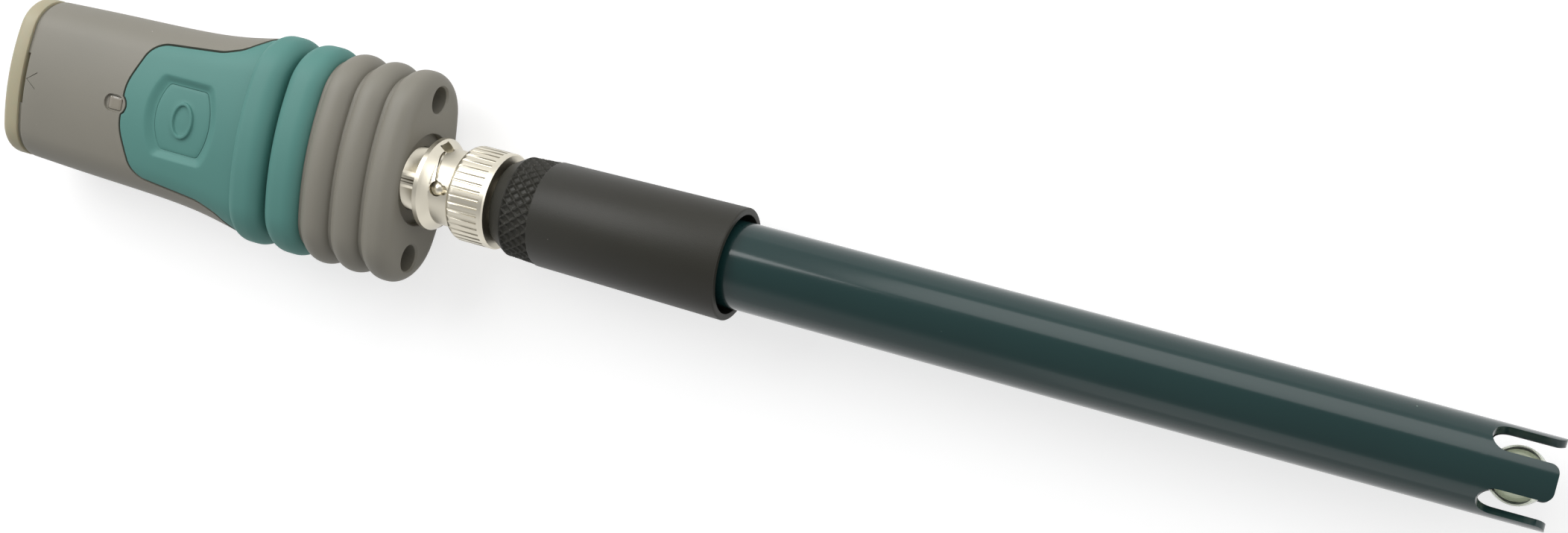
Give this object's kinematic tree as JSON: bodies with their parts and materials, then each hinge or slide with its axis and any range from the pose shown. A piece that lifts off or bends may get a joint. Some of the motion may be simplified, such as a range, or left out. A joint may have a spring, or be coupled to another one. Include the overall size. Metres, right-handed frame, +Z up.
{
  "type": "ph electrode",
  "caption": "pH electrode on an oval amplifier handle: slotted tube around a glass bulb, knurled cap, bayonet coupling, ribbed rubber grip and power button.",
  "frame": {"origin": "middle of the overall length, on the level the ribs lie on", "axes": "+X along the electrode towards the prong tips, +Z up out of the power button"},
  "size_m": [0.2364, 0.0322, 0.018],
  "materials": {
    "tube_plastic": "gloss",
    "membrane_glass": "gloss",
    "seal_rubber": "matt",
    "junction_ceramic": "matt",
    "silver_wire": "satin",
    "cap_plastic": "matt",
    "nickel": "polished",
    "insulator": "gloss",
    "gold_contact": "polished",
    "spring_steel": "satin",
    "inner_plastic": "matt",
    "housing_plastic": "fine texture",
    "grip_rubber": "matt",
    "screw_steel": "satin",
    "lens_plastic": "gloss",
    "board_laminate": "satin",
    "battery_pouch": "satin",
    "foam_tape": "matt",
    "cover_plastic": "satin"
  },
  "bodies": {
    "handle": {"nose_shell": "housing_plastic", "nose_band": "grip_rubber", "nose_screws": "screw_steel", "body_shell": "housing_plastic", "grip_overmould": "grip_rubber", "indicator_lens": "lens_plastic", "indicator_led": "lens_plastic", "circuit_board": "board_laminate", "board_screws": "screw_steel", "radio_shield": "screw_steel", "battery": "battery_pouch", "battery_tape": "foam_tape", "usb_socket": "screw_steel", "tact_switch": "inner_plastic", "jack_shell": "nickel", "jack_insulator": "insulator", "jack_contact": "gold_contact", "jack_retainer": "inner_plastic"},
    "button": {"button_pad": "grip_rubber", "switch_plunger": "inner_plastic"},
    "end_cover": {"end_cap": "cover_plastic"},
    "carriage": {"spring_washer": "spring_steel"},
    "coupling": {"coupling_ring": "nickel"},
    "electrode": {"electrode_body": "tube_plastic", "glass_membrane": "membrane_glass", "tip_seal": "seal_rubber", "reference_junction": "junction_ceramic", "top_plug": "seal_rubber", "measuring_wire": "silver_wire", "reference_wire": "silver_wire", "electrode_cap": "cap_plastic", "plug_body": "nickel", "plug_insulator": "insulator", "plug_pin": "gold_contact", "plug_gasket": "seal_rubber"}
  },
  "joints": [
    {"name": "button_press", "type": "slide", "parent": "handle", "child": "button", "axis": [0, 0, -1], "range_m": [0, 0.0004], "stiffness_N_per_m": 2500, "springref_m": -0.0002},
    {"name": "end_cap_pull", "type": "slide", "parent": "handle", "child": "end_cover", "axis": [-1, 0, 0], "range_m": [0, 0.007]},
    {"name": "electrode_draw", "type": "slide", "parent": "handle", "child": "carriage", "axis": [1, 0, 0], "range_m": [0, 0.0017]},
    {"name": "coupling_turn", "type": "hinge", "parent": "carriage", "child": "coupling", "pos_m": [-0.03675, 0, 0.009], "axis": [1, 0, 0], "range_deg": [0, 72]},
    {"name": "electrode_swivel", "type": "hinge", "parent": "carriage", "child": "electrode", "pos_m": [-0.03175, 0, 0.009], "axis": [1, 0, 0], "continuous": true}
  ],
  "couplings": [
    {"joint": "electrode_draw", "follows": "coupling_turn", "m_per_rad": 0.0013525}
  ]
}
